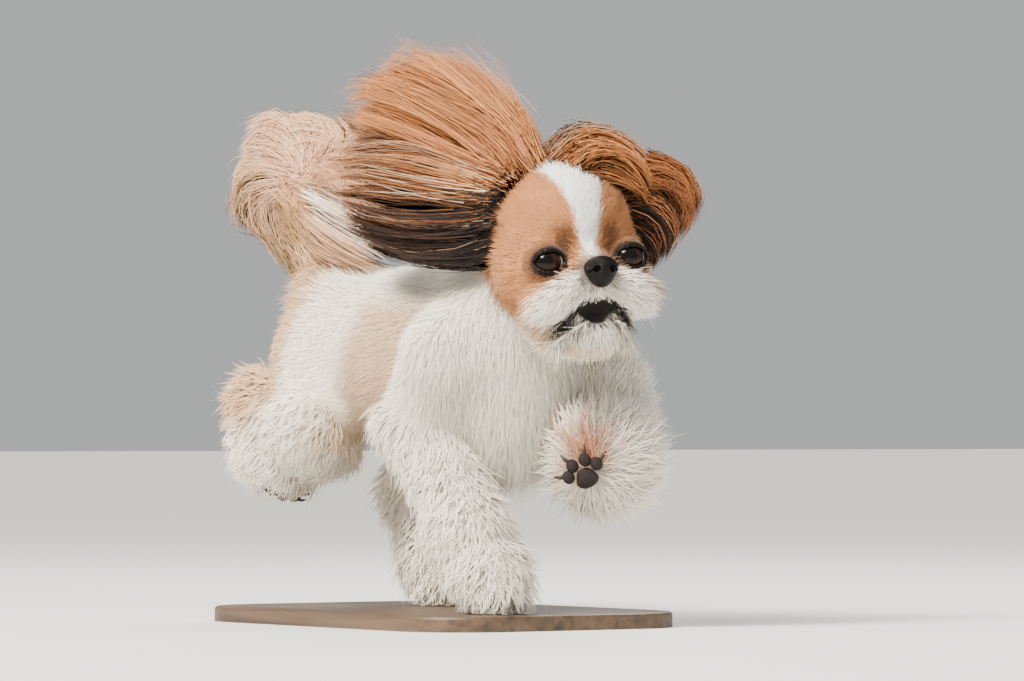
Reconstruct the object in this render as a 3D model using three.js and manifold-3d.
// A trotting shih tzu as a still, life-size model on a low stand base.
// Millimetres, +Z up. The dog faces -Y and its left side is +X.
// The origin is the middle of the underside of the stand base.
// The flesh is built from tapered limbs and rounded masses that run into one another,
// and each body part is a closed solid that meets its neighbour with a narrow gap.
import * as THREE from "three";
import Module from "manifold-3d";

const wasm = await Module();
wasm.setup();

// Driving dimensions
const withersHeight = 262;
const chestRadius = 72;
const loinRadius = 66;
const rumpRadius = 57;
const skullRadius = 58;
const eyeRadius = 11.5;
const eyeSpacing = 66;
const palmPad = [9, 7, 5];
const toePad = [4.2, 4.8, 4];
const toeSpread = 13;
const toeAngles = [-66, -24, 24, 66];
const jointGap = 0.3;
const clearance = 1.6;
const bodyCell = 19;
const legCell = 17.5;
const headCell = 12.5;
const earCell = 17;
const tailCell = 20;
const lockSeed = 7;
const lockSink = 7;
const shortestEdge = 0.05;
const thinnestFace = 0.03;
const standLength = 370;
const standWidth = 240;
const standThickness = 12;
const standCorner = 60;

// How the head is carried: turned to its right, nose a little up, crown tipped to its right
const headPlace = [2, -165, 280];
const headTurn = THREE.MathUtils.degToRad(-12);
const headNod = THREE.MathUtils.degToRad(-5);
const headTip = THREE.MathUtils.degToRad(-4);

const backLevel = withersHeight;
const chestAxis = backLevel - chestRadius + 4;

// Places of the joints, from the ground up
const joint = {
  chest: [0, -82, chestAxis],
  rib: [-3, 15, chestAxis - 2],
  loin: [-6, 92, 192],
  rump: [-8, 118, 198],
  neckRoot: [0, -104, 222],
  neckTop: [1, -150, 256],
  tailRoot: [-18, 132, 238],
};

// A rounded mass with its own half-lengths along x, y and z.
function mass(centre, radii) {
  const [cx, cy, cz] = centre;
  const [rx, ry, rz] = radii;
  return (x, y, z) => {
    const u = (x - cx) / rx;
    const v = (y - cy) / ry;
    const w = (z - cz) / rz;
    const reach = Math.hypot(u, v, w);
    const slope = Math.hypot(u / rx, v / ry, w / rz);
    return slope < 1e-9 ? -Math.min(rx, ry, rz) : (reach * (reach - 1)) / slope;
  };
}

// A limb that tapers from one ball to another.
function limb(from, fromRadius, to, toRadius) {
  const [ax, ay, az] = from;
  const bx = to[0] - ax;
  const by = to[1] - ay;
  const bz = to[2] - az;
  const lengthSquared = bx * bx + by * by + bz * bz;
  return (x, y, z) => {
    const along = ((x - ax) * bx + (y - ay) * by + (z - az) * bz) / lengthSquared;
    const t = Math.min(1, Math.max(0, along));
    const radius = fromRadius + t * (toRadius - fromRadius);
    return Math.hypot(x - ax - t * bx, y - ay - t * by, z - az - t * bz) - radius;
  };
}

// Several forms run into one another over a soft width.
function flowing(softness, ...forms) {
  return (x, y, z) => {
    let distance = forms[0](x, y, z);
    for (let i = 1; i < forms.length; i += 1) {
      const next = forms[i](x, y, z);
      const overlap = Math.max(softness - Math.abs(distance - next), 0);
      distance = Math.min(distance, next) - (overlap * overlap) / (4 * softness);
    }
    return distance;
  };
}

// A limb through a row of balls, each given as [x, y, z, radius].
function chain(softness, ...balls) {
  const links = [];
  for (let i = 1; i < balls.length; i += 1) {
    const from = balls[i - 1];
    const to = balls[i];
    links.push(limb(from.slice(0, 3), from[3], to.slice(0, 3), to[3]));
  }
  return flowing(softness, ...links);
}

// The corner of each cell edge, as steps along x, y and z.
const corners = [];
for (let i = 0; i < 8; i += 1) corners.push([i & 1, (i >> 1) & 1, (i >> 2) & 1]);
const cellEdges = [];
for (let a = 0; a < 8; a += 1) {
  for (const bit of [1, 2, 4]) if (!(a & bit)) cellEdges.push([a, a | bit]);
}

// Where two sheets of a surface would touch along one grid square, the nearer outside
// corner is filled, so that they join instead.
function closePinches(values, [nx, ny, nz]) {
  const steps = [1, nx, nx * ny];
  const pairs = [[0, 1], [1, 2], [2, 0]];
  for (let filled = 1; filled; ) {
    filled = 0;
    for (let k = 0; k < nz - 1; k += 1)
      for (let j = 0; j < ny - 1; j += 1)
        for (let i = 0; i < nx - 1; i += 1)
          for (const [u, v] of pairs) {
            const here = i + nx * (j + ny * k);
            const square = [here, here + steps[u], here + steps[u] + steps[v], here + steps[v]];
            const inside = square.map((n) => values[n] < 0);
            if (inside[0] !== inside[2] || inside[1] !== inside[3] || inside[0] === inside[1]) continue;
            const outside = square.filter((n) => values[n] >= 0);
            outside.sort((a, b) => values[a] - values[b]);
            values[outside[0]] = -1e-3 - values[outside[0]];
            filled += 1;
          }
  }
}

// A closed solid of the space where the field is below grow, with one point in each cell
// that the surface crosses.
function solidOf(field, low, high, cell, grow = 0) {
  const count = [0, 1, 2].map((k) => Math.ceil((high[k] - low[k]) / cell) + 1);
  const [nx, ny, nz] = count;
  const node = (i, j, k) => i + nx * (j + ny * k);
  const values = new Float64Array(nx * ny * nz);
  for (let k = 0; k < nz; k += 1)
    for (let j = 0; j < ny; j += 1)
      for (let i = 0; i < nx; i += 1)
        values[node(i, j, k)] =
          field(low[0] + i * cell, low[1] + j * cell, low[2] + k * cell) - grow;

  closePinches(values, count);
  const positions = [];
  const pointOfCell = new Map();
  for (let k = 0; k < nz - 1; k += 1)
    for (let j = 0; j < ny - 1; j += 1)
      for (let i = 0; i < nx - 1; i += 1) {
        const at = corners.map(([a, b, c]) => values[node(i + a, j + b, k + c)]);
        const sum = [0, 0, 0];
        let crossings = 0;
        for (const [a, b] of cellEdges) {
          if (at[a] < 0 === at[b] < 0) continue;
          const t = at[a] / (at[a] - at[b]);
          for (let n = 0; n < 3; n += 1) sum[n] += corners[a][n] + t * (corners[b][n] - corners[a][n]);
          crossings += 1;
        }
        if (!crossings) continue;
        pointOfCell.set(node(i, j, k), positions.length / 3);
        positions.push(
          low[0] + cell * (i + sum[0] / crossings),
          low[1] + cell * (j + sum[1] / crossings),
          low[2] + cell * (k + sum[2] / crossings),
        );
      }

  const triangles = [];
  const spread = (p, q) =>
    Math.hypot(
      positions[3 * p] - positions[3 * q],
      positions[3 * p + 1] - positions[3 * q + 1],
      positions[3 * p + 2] - positions[3 * q + 2],
    );
  const quad = (a, b, c, d) => {
    if (spread(a, c) < spread(b, d)) triangles.push(a, b, c, a, c, d);
    else triangles.push(b, c, d, b, d, a);
  };
  const steps = [1, nx, nx * ny];
  for (let k = 1; k < nz - 1; k += 1)
    for (let j = 1; j < ny - 1; j += 1)
      for (let i = 1; i < nx - 1; i += 1)
        for (let axis = 0; axis < 3; axis += 1) {
          const here = node(i, j, k);
          const inside = values[here] < 0;
          if (inside === values[here + steps[axis]] < 0) continue;
          const u = steps[(axis + 1) % 3];
          const v = steps[(axis + 2) % 3];
          const ring = [here - u - v, here - v, here, here - u].map((n) => pointOfCell.get(n));
          if (inside) quad(...ring);
          else quad(...ring.reverse());
        }
  return new wasm.Manifold(
    new wasm.Mesh({
      numProp: 3,
      vertProperties: new Float32Array(positions),
      triVerts: new Uint32Array(triangles),
    }),
  );
}

// A three.js geometry as a solid, with its shared points joined.
function solidFrom(geometry, matrix) {
  const place = geometry.getAttribute("position");
  const index = geometry.index ? geometry.index.array : [...Array(place.count).keys()];
  const point = new THREE.Vector3();
  const known = new Map();
  const positions = [];
  const renamed = [];
  for (let i = 0; i < place.count; i += 1) {
    point.fromBufferAttribute(place, i);
    if (matrix) point.applyMatrix4(matrix);
    const key = point.toArray().map((n) => Math.round(n * 1e4)).join(" ");
    if (!known.has(key)) {
      known.set(key, positions.length / 3);
      positions.push(...point.toArray());
    }
    renamed.push(known.get(key));
  }
  const triangles = [];
  for (let i = 0; i < index.length; i += 3) {
    const [a, b, c] = [renamed[index[i]], renamed[index[i + 1]], renamed[index[i + 2]]];
    if (a !== b && b !== c && c !== a) triangles.push(a, b, c);
  }
  return new wasm.Manifold(
    new wasm.Mesh({
      numProp: 3,
      vertProperties: new Float32Array(positions),
      triVerts: new Uint32Array(triangles),
    }),
  );
}

// The largest closed surface of a solid, without loose scraps or sealed hollows.
function whole(solid) {
  const bodies = solid.decompose();
  bodies.sort((a, b) => b.volume() - a.volume());
  return bodies[0];
}

// The part of a solid on the far side of a plane through a point, half a joint gap clear of it.
function beyond(solid, point, direction) {
  const normal = new THREE.Vector3(...direction).normalize();
  const offset = normal.dot(new THREE.Vector3(...point)) + jointGap / 2;
  return solid.trimByPlane(normal.toArray(), offset);
}

function before(solid, point, direction) {
  return beyond(solid, point, direction.map((n) => -n));
}

// The faces of a solid, with points closer than a hair joined and needle faces turned,
// so that each face is a sound flat triangle.
function soundFaces(points, faces) {
  const apart = (a, b) => points[a].distanceTo(points[b]);
  const home = points.map((_, n) => n);
  const find = (n) => (home[n] === n ? n : (home[n] = find(home[n])));
  for (const [a, b, c] of faces)
    for (const [p, q] of [[a, b], [b, c], [c, a]])
      if (apart(p, q) < shortestEdge) home[find(q)] = find(p);
  let kept = faces.map((face) => face.map(find)).filter(([a, b, c]) => a !== b && b !== c && c !== a);
  const twins = new Map();
  const keyOf = (face) => [...face].sort((a, b) => a - b).join(" ");
  for (const face of kept) twins.set(keyOf(face), (twins.get(keyOf(face)) || 0) + 1);
  kept = kept.filter((face) => twins.get(keyOf(face)) === 1);

  for (let pass = 0; pass < 6; pass += 1) {
    const owner = new Map();
    kept.forEach((face, n) => face.forEach((p, k) => owner.set(`${p} ${face[(k + 1) % 3]}`, n)));
    const touched = new Set();
    kept.forEach((face, n) => {
      if (touched.has(n)) return;
      const sides = [0, 1, 2].map((k) => apart(face[k], face[(k + 1) % 3]));
      const k = sides.indexOf(Math.max(...sides));
      const [a, b, c] = [face[k], face[(k + 1) % 3], face[(k + 2) % 3]];
      const ab = points[b].clone().sub(points[a]);
      const height = ab.clone().cross(points[c].clone().sub(points[a])).length() / ab.length();
      if (height > thinnestFace) return;
      const m = owner.get(`${b} ${a}`);
      if (m === undefined || m === n || touched.has(m)) return;
      const d = kept[m].find((p) => p !== a && p !== b);
      if (d === c || owner.has(`${c} ${d}`) || owner.has(`${d} ${c}`)) return;
      const around = [n, m];
      for (const [p, q] of [[b, c], [c, a], [a, d], [d, b]]) around.push(owner.get(`${q} ${p}`));
      if (around.some((f) => touched.has(f))) return;
      kept[n] = [a, d, c];
      kept[m] = [d, b, c];
      around.forEach((f) => touched.add(f));
    });
    if (!touched.size) break;
  }
  return kept;
}

function geometryOf(solid) {
  const mesh = solid.getMesh();
  const points = [];
  for (let i = 0; i < mesh.numVert; i += 1)
    points.push(new THREE.Vector3().fromArray(mesh.vertProperties, mesh.numProp * i));
  const faces = [];
  for (let i = 0; i < mesh.numTri; i += 1) faces.push([...mesh.triVerts.slice(3 * i, 3 * i + 3)]);
  const geometry = new THREE.BufferGeometry();
  geometry.setFromPoints(points);
  geometry.setIndex(soundFaces(points, faces).flat());
  geometry.computeVertexNormals();
  return geometry;
}

const coatMaterial = (color) => new THREE.MeshStandardMaterial({ color, roughness: 0.85, metalness: 0 });
const creamCoat = coatMaterial(0xefe6d6);
const tanCoat = coatMaterial(0xc89468);
const redCoat = coatMaterial(0xa8643c);
const peachCoat = coatMaterial(0xe0b590);
const wetBlack = new THREE.MeshStandardMaterial({ color: 0x16120f, roughness: 0.2, metalness: 0 });
const padSkin = new THREE.MeshStandardMaterial({ color: 0x3a2c27, roughness: 0.6, metalness: 0 });
const standWood = new THREE.MeshStandardMaterial({ color: 0x4a4440, roughness: 0.5, metalness: 0 });

const shihTzu = new THREE.Group();
const dog = new THREE.Group();
dog.position.z = standThickness;
shihTzu.add(dog);
const head = new THREE.Group();
head.position.set(...headPlace);
head.rotation.set(headNod, headTip, headTurn, "ZYX");
dog.add(head);
head.updateMatrix();

function add(group, name, solid, material) {
  const mesh = new THREE.Mesh(geometryOf(solid), material);
  mesh.name = name;
  group.add(mesh);
}

// A stream of even random numbers from 0 to 1 that is the same each time.
function randomStream(seed) {
  let state = seed;
  return () => {
    state = (state * 1664525 + 1013904223) % 4294967296;
    return state / 4294967296;
  };
}
const random = randomStream(lockSeed);
const vary = (size) => (2 * random() - 1) * size;

function slopeOf(field, at) {
  const step = 0.5;
  const [x, y, z] = at.toArray();
  return new THREE.Vector3(
    field(x + step, y, z) - field(x - step, y, z),
    field(x, y + step, z) - field(x, y - step, z),
    field(x, y, z + step) - field(x, y, z - step),
  ).normalize();
}

// The place where a straight way out of a body leaves its skin.
function leaving(field, from, way) {
  const at = new THREE.Vector3(...from);
  const step = new THREE.Vector3(...way).normalize();
  let distance = field(...at.toArray());
  for (let n = 0; n < 80 && distance < -0.05; n += 1) {
    at.addScaledVector(step, Math.max(0.5, -distance * 0.7));
    distance = field(...at.toArray());
  }
  return at.addScaledVector(slopeOf(field, at), -distance);
}

// How wide a lock is at four places from root to near the tip, which is a point.
const lockStations = [[0, 0.75], [0.34, 1], [0.66, 0.8], [0.88, 0.42]];

// One flat tapered lock of hair along a bent line, its flat side towards facing.
function lock(line, facing, width, thickness, grow = 0) {
  const curve = new THREE.CatmullRomCurve3(line.map((p) => p.clone()));
  const positions = [];
  for (const [t, swell] of lockStations) {
    const at = curve.getPoint(t);
    const along = curve.getTangent(t);
    const side = new THREE.Vector3().crossVectors(along, facing).normalize();
    const up = new THREE.Vector3().crossVectors(side, along);
    const half = (width / 2) * swell + grow;
    const high = (thickness / 2) * swell + grow;
    for (const [a, b] of [[half, 0], [0, high], [-half, 0], [0, -high]])
      positions.push(...at.clone().addScaledVector(side, a).addScaledVector(up, b).toArray());
  }
  const tip = positions.length / 3;
  const end = curve.getPoint(1).addScaledVector(curve.getTangent(1), grow);
  positions.push(...end.toArray());
  const triangles = [0, 2, 1, 0, 3, 2];
  for (let ring = 0; ring < lockStations.length; ring += 1)
    for (let k = 0; k < 4; k += 1) {
      const a = 4 * ring + k;
      const b = 4 * ring + ((k + 1) % 4);
      if (ring === lockStations.length - 1) triangles.push(a, b, tip);
      else triangles.push(a, b, b + 4, a, b + 4, a + 4);
    }
  const made = new wasm.Manifold(
    new wasm.Mesh({
      numProp: 3,
      vertProperties: new Float32Array(positions),
      triVerts: new Uint32Array(triangles),
    }),
  );
  if (made.volume() > 0) return made;
  for (let n = 0; n < triangles.length; n += 3)
    [triangles[n + 1], triangles[n + 2]] = [triangles[n + 2], triangles[n + 1]];
  return new wasm.Manifold(
    new wasm.Mesh({
      numProp: 3,
      vertProperties: new Float32Array(positions),
      triVerts: new Uint32Array(triangles),
    }),
  );
}

// A lock that lies along the skin from where a way out of the body leaves it, its tip standing off.
function lyingLock(field, from, way, lie, length, width, thickness, lift) {
  const root = leaving(field, from, way);
  const out = slopeOf(field, root);
  const along = new THREE.Vector3(...lie);
  along.addScaledVector(out, -along.dot(out)).normalize();
  const line = [root.clone().addScaledVector(out, -lockSink)];
  for (const t of [0.35, 0.7, 1]) {
    const at = root.clone().addScaledVector(along, length * t);
    for (let n = 0; n < 3; n += 1) {
      const distance = field(...at.toArray());
      at.addScaledVector(slopeOf(field, at), thickness * 0.25 + lift * t * t - distance);
    }
    line.push(at);
  }
  return { line, out, width, thickness };
}

// A lock that leaves the skin and flies free to its tip, bent by the wind on the way.
function flyingLock(field, from, way, bends, width, thickness) {
  const root = leaving(field, from, way);
  const out = slopeOf(field, root);
  const line = [root.clone().addScaledVector(out, -lockSink)];
  for (const bend of bends) line.push(new THREE.Vector3(...bend));
  return { line, out, width, thickness };
}

const grownFrom = (locks, grow = 0) =>
  wasm.Manifold.union(locks.map((l) => lock(l.line, l.out, l.width, l.thickness, grow)));

// A ball of few faces, squashed to its half-lengths and turned as asked.
function button(centre, radii, turn = [0, 0, 0], grow = 0, around = 12, rows = 8) {
  const ball = new THREE.SphereGeometry(1, around, rows);
  ball.rotateX(Math.PI / 2);
  const matrix = new THREE.Matrix4().compose(
    new THREE.Vector3(...centre),
    new THREE.Quaternion().setFromEuler(new THREE.Euler(...turn)),
    new THREE.Vector3(...radii.map((r) => r + grow)),
  );
  return solidFrom(ball, matrix);
}

// Body: rib cage, loin, rump, neck and the upper length of each leg run into one another
const shoulderRight = [-54, -92, 196];
const elbowRight = [-58, -60, 146];
const shoulderLeft = [50, -92, 198];
const elbowLeft = [66, -132, 168];
const hipRight = [-38, 104, 188];
const stifleRight = [-56, 84, 146];
const hipLeft = [32, 96, 186];
const stifleLeft = [48, 54, 142];
const bodyField = flowing(
  24,
  limb(joint.chest, chestRadius, joint.rib, chestRadius - 3),
  limb(joint.rib, chestRadius - 3, joint.loin, loinRadius - 3),
  limb(joint.loin, loinRadius - 3, joint.rump, rumpRadius),
  mass([0, -104, 158], [44, 42, 50]),
  limb(joint.neckRoot, 54, joint.neckTop, 50),
  limb(shoulderRight, 38, elbowRight, 34),
  limb(shoulderLeft, 36, elbowLeft, 27),
  limb(hipRight, 47, stifleRight, 38),
  limb(hipLeft, 46, stifleLeft, 38),
  limb(joint.rump, 30, joint.tailRoot, 22),
);
const bodyBox = [[-120, -220, 70], [120, 200, 330]];

// A block that runs from a point along a way, cut square at the point.
function block(point, way, [halfWidth, halfDepth, length], grow = 0) {
  const size = [2 * (halfWidth + grow), 2 * (halfDepth + grow), length + 2 * grow];
  const box = new THREE.BoxGeometry(...size);
  box.translate(0, 0, length / 2);
  const turn = new THREE.Quaternion();
  turn.setFromUnitVectors(new THREE.Vector3(0, 0, 1), new THREE.Vector3(...way).normalize());
  const matrix = new THREE.Matrix4().makeRotationFromQuaternion(turn).setPosition(...point);
  return solidFrom(box, matrix);
}

const halfGap = jointGap / 2;
const wayOf = (from, to) => to.map((n, k) => n - from[k]);

// Each leg: the upper length's ends and the balls of the rest, [x, y, z, radius], from knee to toes.
// The lower length is cut from the upper square to bendWay at the elbow or stifle.
const legs = [
  {
    names: ["foreleg_right_upper", "foreleg_right_lower", "forepaw_right"],
    from: shoulderRight,
    to: elbowRight,
    side: -1,
    balls: [[...elbowRight, 33], [-48, -112, 66, 30], [-41, -133, 30, 29], [-40, -142, 20, 26]],
    lie: [0.1, 0.45, -0.9],
    hair: 30,
  },
  {
    names: ["foreleg_left_upper", "foreleg_left_lower", "forepaw_left"],
    from: shoulderLeft,
    to: elbowLeft,
    side: 1,
    balls: [[...elbowLeft, 26], [53, -150, 132, 30], [42, -162, 119, 37]],
    lie: [-0.2, 0.1, -0.9],
    hair: 26,
  },
  {
    names: ["hindleg_right_thigh", "hindleg_right_shank", "hindpaw_right"],
    from: hipRight,
    to: stifleRight,
    side: -1,
    balls: [[...stifleRight, 37], [-58, 160, 158, 29], [-58, 146, 126, 31], [-58, 122, 117, 26]],
    lie: [0, 0.55, -0.8],
    hair: 34,
  },
  {
    names: ["hindleg_left_thigh", "hindleg_left_shank", "hindpaw_left"],
    from: hipLeft,
    to: stifleLeft,
    side: 1,
    balls: [[...stifleLeft, 37], [42, 98, 92, 26], [40, 66, 34, 25], [40, 54, 20, 24]],
    lie: [0, 0.6, -0.8],
    hair: 30,
  },
];
const blockReach = [46, 46];
for (const leg of legs) {
  const lower = leg.balls[1].slice(0, 3);
  leg.bendWay = wayOf(leg.from, lower);
  leg.field = chain(16, ...leg.balls);
  leg.lowBlock = (grow) => {
    const point = leg.to.map((n, k) => n + (k === 0 ? leg.side * 14 : 0));
    return block(point, leg.bendWay, [...blockReach, 70], grow);
  };
  leg.highBlock = (grow) => {
    const point = leg.to.map((n, k) => n + (k === 0 ? leg.side * 24 : 0));
    return block(point, leg.bendWay.map((n) => -n), [50, 58, 90], grow);
  };
}

// The chest and elbows carry wavy hair that hangs down and back.
const bodyLocks = [];
for (let n = 0; n < 5; n += 1) {
  const angle = THREE.MathUtils.degToRad(-60 + 30 * n + vary(4));
  const way = [Math.sin(angle), -Math.cos(angle) * 0.9, -0.35 - 0.25 * (n % 2)];
  bodyLocks.push(lyingLock(bodyField, [0, -90, 170], way, [0, 0.1, -1], 46 + vary(4), 32, 9, 7));
}
for (const leg of legs)
  for (let n = 0; n < 2; n += 1) {
    const way = [leg.side * (0.6 + 0.5 * n), 0.8 - 0.5 * n, -0.15];
    const from = leg.from.map((v, k) => v + 0.7 * (leg.to[k] - v));
    bodyLocks.push(lyingLock(bodyField, from, way, leg.lie, 36 + vary(4), 32, 9, 7));
  }
const bodyWhole = solidOf(bodyField, ...bodyBox, bodyCell).add(grownFrom(bodyLocks));
const bodyGrown = solidOf(bodyField, ...bodyBox, bodyCell, clearance).add(grownFrom(bodyLocks, clearance));
const kneeBlocks = legs.map((leg) => leg.lowBlock(halfGap));
const kneeRooms = legs.map((leg) => leg.lowBlock(-halfGap));
const neckPlane = [0, 34, -52];
const neckWay = [0, 0.62, -0.78];
const neckPoint = new THREE.Vector3(...neckPlane).applyMatrix4(head.matrix).toArray();
const neckNormal = new THREE.Vector3(...neckWay).transformDirection(head.matrix).toArray();
const tailPoint = [-20, 140, 252];
const tailWay = [-0.1, 0.3, 1];
const tailBlock = block(tailPoint, tailWay, [40, 40, 60], 0);
let body = beyond(bodyWhole, neckPoint, neckNormal);
body = body.subtract(wasm.Manifold.union(kneeBlocks)).subtract(tailBlock);
for (const leg of legs) {
  add(dog, leg.names[0], whole(body.intersect(leg.highBlock(-halfGap))), creamCoat);
  body = body.subtract(leg.highBlock(halfGap));
}
const collar = [0, -112, 232];
const collarWay = [0, -0.75, 0.66];
add(dog, "neck", whole(beyond(body, collar, collarWay)), creamCoat);
body = before(body, collar, collarWay);
const waist = [0, 18, 0];
add(dog, "torso_front", whole(before(body, waist, [0, 1, 0])), creamCoat);
add(dog, "torso_rear", whole(beyond(body, waist, [0, 1, 0])), tanCoat);
const bodyRoom = bodyGrown.subtract(wasm.Manifold.union(kneeRooms)).subtract(tailBlock);

// Head: skull, brow, cheeks, moustache cushions and chin
const skullField = flowing(
  14,
  mass([0, 2, 4], [skullRadius, 60, 58]),
  mass([0, -24, 22], [45, 36, 36]),
  mass([36, -14, -24], [27, 34, 33]),
  mass([-36, -14, -24], [27, 34, 33]),
  mass([23, -45, -42], [26, 24, 22]),
  mass([-23, -45, -42], [26, 24, 22]),
  mass([0, -50, -22], [14, 20, 12]),
  mass([0, -36, -72], [26, 22, 16]),
  mass([0, -4, -56], [44, 44, 32]),
);
// The root of the topknot, half the length of its hair
const headField = flowing(12, skullField, chain(12, [-16, 8, 48, 28], [-40, 42, 82, 22], [-52, 64, 98, 10]));
const headBox = [[-100, -90, -110], [90, 110, 140]];
const eyePlace = (side) => [(side * eyeSpacing) / 2, -46, -18];
const nosePlace = [0, -72, -27];

// The nose leather, wide above and narrow below
function noseSolid(grow) {
  const pad = button(nosePlace, [14, 10, 10], [-0.25, 0, 0], grow, 10, 6);
  return pad.add(button([0, -70, -34], [8, 8, 8], [0, 0, 0], grow, 8, 6));
}

// Two round nostrils that open forward and to the side
function nostrils() {
  const hole = (side) => button([side * 6.2, -80.5, -27], [2.6, 4.5, 3.2], [0, 0, side * 0.5], 0, 8, 6);
  return hole(1).add(hole(-1));
}

// A round rim along a bent line, for lids and lips
function rim(line, radius) {
  const curve = new THREE.CatmullRomCurve3(line.map((p) => new THREE.Vector3(...p)));
  const section = new THREE.Shape();
  for (let n = 0; n < 5; n += 1) {
    const angle = (n / 5) * 2 * Math.PI;
    const point = [radius * Math.cos(angle), radius * Math.sin(angle)];
    if (n) section.lineTo(...point);
    else section.moveTo(...point);
  }
  return solidFrom(new THREE.ExtrudeGeometry(section, { steps: 6, extrudePath: curve, bevelEnabled: false }));
}

// The upper and lower lid of one eye, as arcs over the eyeball
function lids(side) {
  const [cx, cy, cz] = eyePlace(side);
  const made = [];
  for (const [rise, radius] of [[1, 2.8], [-1, 2.2]]) {
    const line = [];
    for (let n = 0; n <= 6; n += 1) {
      const across = -1 + n / 3;
      const height = rise * 8.5 * Math.sqrt(Math.max(0, 1 - (across * 0.98) ** 2));
      const reach = eyeRadius + 1.2;
      const wide = across * reach * 0.98;
      const depth = Math.sqrt(Math.max(1, reach ** 2 - wide ** 2 - height ** 2));
      line.push([cx + wide + side * 1.5, cy - depth, cz + height]);
    }
    made.push(rim(line, radius));
  }
  return wasm.Manifold.union(made);
}

// The mouth: a bent slit below the moustache, with a lip along each edge
const mouthLine = (drop) => [
  [-30, -46, -70 - drop],
  [-18, -60, -60 - drop],
  [0, -66, -50 - drop],
  [18, -60, -60 - drop],
  [30, -46, -70 - drop],
];
const mouthSlit = rim(mouthLine(2), 3.4);
const upperLip = rim(mouthLine(-2.5), 2.6);
const lowerLip = rim(mouthLine(7), 2.6);

const headLocks = [];
// Topknot: roots over the crown, the wind carrying the tips up, back and to the right
const knotRows = 3;
const knotColumns = 4;
for (let row = 0; row < knotRows; row += 1)
  for (let column = 0; column < knotColumns; column += 1) {
    const u = column / (knotColumns - 1);
    const v = row / (knotRows - 1);
    const way = [-0.75 + 0.8 * u + vary(0.05), -0.15 + 0.75 * v, 1];
    const tip = [-122 + 88 * u + vary(4), 122 - 66 * u + 10 * v + vary(4), 112 + 50 * Math.sin(2.6 * u) + vary(4)];
    const root = [-48 + 52 * u, -4 + 40 * v, 56];
    const bend = (t, rise) => root.map((n, k) => n + t * (tip[k] - n) + (k === 2 ? rise : 0) + vary(2));
    const bends = [bend(0.2, 12 + 6 * u), bend(0.58, 9), tip];
    headLocks.push(flyingLock(skullField, [0, 0, 10], way, bends, 30, 9));
  }
// The hair left of the parting lies over the crown towards the left ear
for (let n = 0; n < 3; n += 1) {
  const back = -20 + 22 * n;
  const lie = [1, 0.05 * n, -0.2];
  headLocks.push(lyingLock(skullField, [4, back * 0.7, 10], [0.1, back / 60, 1], lie, 60 + vary(4), 30, 8, 7));
}
// Moustache, cheeks and beard: rows that fan out from the nose
for (const side of [1, -1])
  for (let ring = 0; ring < 2; ring += 1)
    for (let n = 0; n < 3; n += 1) {
      const angle = THREE.MathUtils.degToRad(2 - 44 * n + (ring % 2) * 20 + vary(4));
      const spread = [0.9, 1.9][ring];
      const way = [side * Math.cos(angle) * spread, -1 + 0.25 * ring, Math.sin(angle) * spread - 0.1];
      const lie = [side * Math.cos(angle), 0.35 + 0.2 * ring, Math.sin(angle) - 0.25];
      const length = [28, 33][ring] + vary(3);
      headLocks.push(lyingLock(skullField, [side * 12, -20, -36], way, lie, length, 28, 8, 5));
    }
for (let n = 0; n < 3; n += 1) {
  const way = [-0.4 + 0.4 * n, -0.5, -1];
  headLocks.push(lyingLock(skullField, [0, -30, -60], way, [0.3 * (n - 1), -0.15, -1], 20 + vary(2), 20, 8, 6));
}

const eyeRooms = [1, -1].map((side) =>
  button(eyePlace(side), [eyeRadius, eyeRadius, eyeRadius], [0, 0, 0], 0.4, 14, 8),
);
const headPlain = solidOf(headField, ...headBox, headCell);
const headHaired = wasm.Manifold.union([headPlain, grownFrom(headLocks), lids(1), lids(-1)])
  .subtract(mouthSlit)
  .add(upperLip)
  .add(lowerLip);
const headSolid = whole(
  before(headHaired, neckPlane, neckWay)
    .subtract(wasm.Manifold.union(eyeRooms))
    .subtract(noseSolid(jointGap)),
);
const headRoom = solidOf(headField, ...headBox, headCell, clearance).add(grownFrom(headLocks, clearance));
add(head, "head", headSolid, tanCoat);
add(head, "nose", noseSolid(0).subtract(nostrils()), wetBlack);
for (const [name, side] of [["eye_left", 1], ["eye_right", -1]])
  add(head, name, button(eyePlace(side), [eyeRadius, eyeRadius, eyeRadius], [0, 0, 0], 0, 14, 8), wetBlack);

// Ears: a cupped leather under long hair. The right one streams back, the left is caught curled over.
// Each row of tips runs from the upper edge of the ear to the lower.
function ear(name, leather, cup, rootWay, roots, tips, bulge) {
  const [low, high] = roomOf(leather, earCell);
  const locks = [];
  tips.forEach((row, layer) => {
    const count = row.count;
    for (let n = 0; n < count; n += 1) {
      const t = n / (count - 1);
      const mix = (ends, k) => ends[0][k] + t * (ends[1][k] - ends[0][k]);
      const root = [0, 1, 2].map((k) => mix(roots, k));
      const edge = Math.sin(Math.PI * t);
      const tip = [0, 1, 2].map((k) => mix(row.ends, k) + row.swell[k] * edge + vary(6));
      const bend = (s, lift) =>
        new THREE.Vector3(...[0, 1, 2].map((k) => root[k] + s * (tip[k] - root[k]) + lift * bulge[k] + vary(2)));
      const start = new THREE.Vector3(...root);
      locks.push({
        line: [start, bend(0.3, edge * 0.6 + 0.5 * layer), bend(0.68, edge * 0.5), new THREE.Vector3(...tip)],
        out: new THREE.Vector3(...rootWay),
        width: row.width,
        thickness: row.thickness,
      });
    }
  });
  const core = solidOf(chain(14, ...leather), low, high, earCell).subtract(cup);
  const made = core.add(grownFrom(locks)).subtract(headRoom);
  add(head, name, whole(made), redCoat);
}
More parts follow.
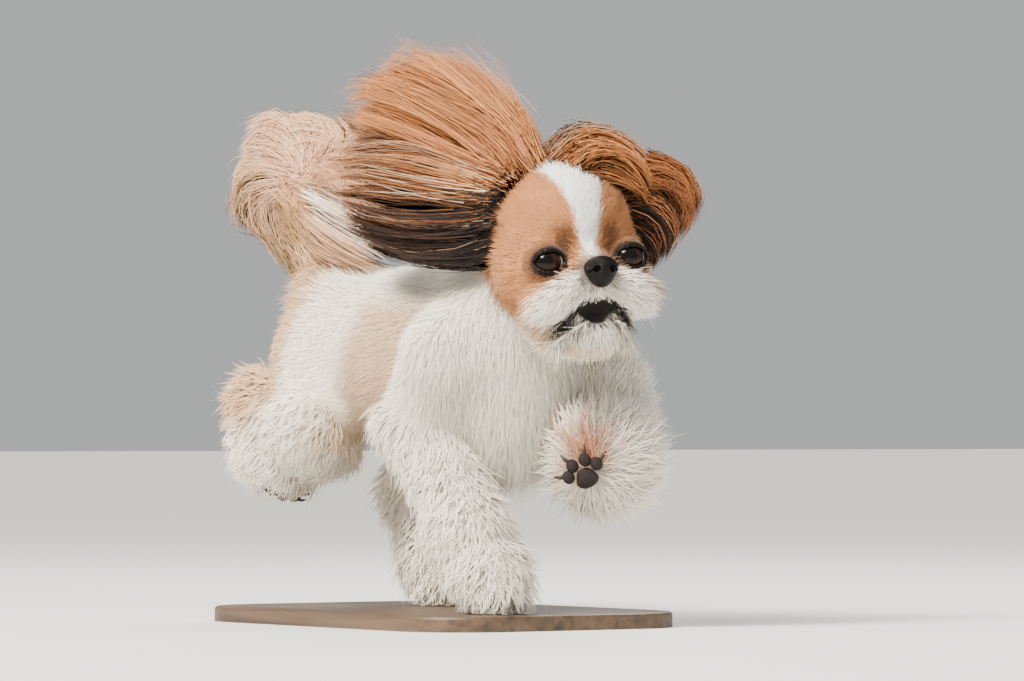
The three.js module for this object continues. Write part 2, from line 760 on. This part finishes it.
ear(
  "ear_right",
  [[-46, 8, 26, 22], [-66, 34, 34, 24], [-84, 62, 44, 20]],
  button([-58, 30, 8], [9, 22, 12], [0, 0, 0.5], 0, 8, 6),
  [-0.85, -0.5, 0.1],
  [[-42, 8, 50], [-52, 14, 6]],
  [
    { ends: [[-122, 122, 112], [-112, 112, 26]], swell: [-16, 22, 0], count: 5, width: 28, thickness: 10 },
    { ends: [[-98, 92, 104], [-92, 78, 8]], swell: [-24, 30, 0], count: 4, width: 30, thickness: 11 },
  ],
  [-12, -6, 0],
);
ear(
  "ear_left",
  [[48, 4, 26, 19], [72, 4, 38, 21], [90, 4, 22, 17]],
  button([66, -6, 12], [12, 16, 10], [0, 0, 0], 0, 8, 6),
  [0.6, -0.7, 0.4],
  [[44, -2, 46], [50, 6, 12]],
  [
    { ends: [[100, -10, 52], [76, -2, -22]], swell: [26, 8, 2], count: 4, width: 27, thickness: 11 },
    { ends: [[92, 34, 48], [70, 26, -26]], swell: [24, 8, 2], count: 3, width: 29, thickness: 11 },
  ],
  [10, 0, 8],
);

// The box that a row of balls needs, with two cells to spare.
function roomOf(balls, cell) {
  const low = [0, 1, 2].map((k) => Math.min(...balls.map((b) => b[k] - b[3])) - 2 * cell);
  const high = [0, 1, 2].map((k) => Math.max(...balls.map((b) => b[k] + b[3])) + 2 * cell);
  return [low, high];
}

// The bare sole of a raised foot: one broad pad, four toe pads round it and a claw at each toe.
// outward is the way the sole faces, toeward the way the toes point.
function sole(prefix, centre, outward, toeward, rooms) {
  const out = new THREE.Vector3(...outward).normalize();
  const toe = new THREE.Vector3(...toeward);
  toe.addScaledVector(out, -toe.dot(out)).normalize();
  const across = new THREE.Vector3().crossVectors(toe, out);
  const base = new THREE.Matrix4().makeBasis(across, toe, out).setPosition(...centre);
  const pad = (sideways, forward, height, radii, grow) => {
    const ball = new THREE.SphereGeometry(1, 7, 5);
    ball.rotateX(Math.PI / 2);
    ball.scale(...radii.map((r) => r + grow));
    ball.translate(sideways, forward, height);
    return solidFrom(ball, base);
  };
  const claw = (sideways, forward, lean, grow) => {
    const cone = new THREE.ConeGeometry(1.7 + grow, 10 + 2 * grow, 5);
    cone.rotateX(0.35);
    cone.rotateZ(lean);
    cone.translate(sideways, forward, -1);
    return solidFrom(cone, base);
  };
  add(dog, `${prefix}_pad_palm`, pad(0, -2, 0, palmPad, 0), padSkin);
  rooms.push(pad(0, -2, 0, palmPad, jointGap));
  toeAngles.forEach((degrees, n) => {
    const angle = THREE.MathUtils.degToRad(degrees);
    const sideways = toeSpread * Math.sin(angle);
    const forward = toeSpread * Math.cos(angle);
    add(dog, `${prefix}_pad_${n + 1}`, pad(sideways, forward, 0, toePad, 0), padSkin);
    rooms.push(pad(sideways, forward, 0, toePad, jointGap));
    const reach = 1 + 10.5 / toeSpread;
    add(dog, `${prefix}_claw_${n + 1}`, claw(sideways * reach, forward * reach, -angle, 0), wetBlack);
    rooms.push(claw(sideways * reach, forward * reach, -angle, jointGap));
  });
}

const foreSoleRooms = [];
sole("forepaw_left", [11, -184, 104], [-0.62, -0.78, -0.25], [-0.45, 0.1, 0.8], foreSoleRooms);
const hindSoleRooms = [];
sole("hindpaw_right", [-58, 142, 93], [-0.1, 0.5, -0.85], [0, -0.85, -0.5], hindSoleRooms);
legs[1].soleRooms = foreSoleRooms;
legs[2].soleRooms = hindSoleRooms;

// Hair down each leg in rings of locks, and a burst of it round the raised forefoot
function legLocks(leg) {
  const locks = [];
  const paw = leg.balls.at(-1);
  const rings = [0.6, 1.4].filter((t) => t < leg.balls.length - 1);
  rings.forEach((t, ring) => {
    const n = Math.floor(t);
    const from = [0, 1, 2].map((k) => leg.balls[n][k] + (t - n) * (leg.balls[n + 1][k] - leg.balls[n][k]));
    const way = new THREE.Vector3(...wayOf(leg.balls[n], leg.balls[n + 1])).normalize();
    const across = new THREE.Vector3(1, 0, 0).cross(way).normalize();
    const third = new THREE.Vector3().crossVectors(way, across);
    for (let k = 0; k < 3; k += 1) {
      const angle = ((k + 0.5 * (ring % 2)) / 3) * 2 * Math.PI + vary(0.2);
      const out = across.clone().multiplyScalar(Math.cos(angle)).addScaledVector(third, Math.sin(angle));
      locks.push(lyingLock(leg.field, from, out.toArray(), leg.lie, leg.hair + vary(4), 32, 9, 8));
    }
  });
  if (leg.names[2] !== "forepaw_left") return locks;
  const golden = Math.PI * (3 - Math.sqrt(5));
  const facing = new THREE.Vector3(-0.62, -0.78, -0.25).normalize();
  const burst = 13;
  for (let n = 0; n < burst; n += 1) {
    const height = 1 - (2 * n + 1) / burst;
    const wide = Math.sqrt(1 - height * height);
    const way = new THREE.Vector3(wide * Math.cos(n * golden), wide * Math.sin(n * golden), height);
    if (way.dot(facing) > 0.8 || way.y > 0.75) continue;
    const lie = way.clone().addScaledVector(facing, -way.dot(facing)).addScaledVector(facing, -0.2);
    lie.z -= 0.1;
    locks.push(lyingLock(leg.field, paw.slice(0, 3), way.toArray(), lie.toArray(), 32 + vary(4), 26, 9, 14));
  }
  return locks;
}

for (const leg of legs) {
  const locks = legLocks(leg);
  const [low, high] = roomOf(leg.balls, legCell);
  const haired = solidOf(leg.field, low, high, legCell).add(grownFrom(locks));
  const taken = [bodyRoom, headRoom.transform(head.matrix.elements), ...(leg.soleRooms || [])];
  const free = beyond(haired, [0, 0, halfGap], [0, 0, 1]).subtract(wasm.Manifold.union(taken));
  const lower = beyond(free, leg.to, leg.bendWay);
  const wrist = leg.balls.length - 2;
  const cut = [leg.balls[wrist].slice(0, 3), wayOf(leg.balls[wrist - 1], leg.balls[wrist + 1])];
  add(dog, leg.names[1], whole(before(lower, ...cut)), creamCoat);
  add(dog, leg.names[2], whole(beyond(lower, ...cut)), creamCoat);
}

// Tail: rises from the rump, curls over the back and falls forward, its hair thrown out all round
const tailBalls = [
  [...joint.tailRoot, 20],
  [-24, 154, 290, 20],
  [-28, 158, 332, 26],
  [-24, 118, 346, 22],
  [-18, 84, 322, 14],
];
const tailField = chain(16, ...tailBalls);
const tailLocks = [];
const tailRows = 4;
for (let row = 0; row < tailRows; row += 1) {
  const t = 1 + (2.8 * row) / (tailRows - 1);
  const n = Math.min(3, Math.floor(t));
  const from = [0, 1, 2].map((k) => tailBalls[n][k] + (t - n) * (tailBalls[n + 1][k] - tailBalls[n][k]));
  const along = new THREE.Vector3(...wayOf(tailBalls[n], tailBalls[n + 1])).normalize();
  const across = new THREE.Vector3(1, 0, 0).cross(along).normalize();
  const third = new THREE.Vector3().crossVectors(along, across);
  for (let k = 0; k < 4; k += 1) {
    const angle = ((k + 0.5 * (row % 2)) / 4) * 2 * Math.PI;
    const out = across.clone().multiplyScalar(Math.cos(angle)).addScaledVector(third, Math.sin(angle));
    const reach = 48 - 4 * row + vary(4);
    const start = new THREE.Vector3(...from);
    const middle = start.clone().addScaledVector(out, 0.72 * reach).addScaledVector(along, 14);
    const tip = start.clone().addScaledVector(out, reach).addScaledVector(along, 44 + vary(5));
    tip.z = Math.max(tip.z, 276);
    tailLocks.push(flyingLock(tailField, from, out.toArray(), [middle.toArray(), tip.toArray()], 36, 11));
  }
}
const tailHaired = solidOf(tailField, ...roomOf(tailBalls, tailCell), tailCell).add(grownFrom(tailLocks));
const tailFree = beyond(tailHaired, tailPoint, tailWay).subtract(bodyRoom);
add(dog, "tail", whole(tailFree), peachCoat);

// Stand base: a low plate with round corners
function standPlate() {
  const x = standWidth / 2 - standCorner;
  const y = standLength / 2 - standCorner;
  const outline = new THREE.Shape();
  outline.absarc(x, y, standCorner, 0, Math.PI / 2);
  outline.absarc(-x, y, standCorner, Math.PI / 2, Math.PI);
  outline.absarc(-x, -y, standCorner, Math.PI, 1.5 * Math.PI);
  outline.absarc(x, -y, standCorner, 1.5 * Math.PI, 2 * Math.PI);
  const options = { depth: standThickness, bevelEnabled: false, curveSegments: 5 };
  return new THREE.ExtrudeGeometry(outline, options);
}
add(shihTzu, "stand_base", solidFrom(standPlate()), standWood);

export default shihTzu;
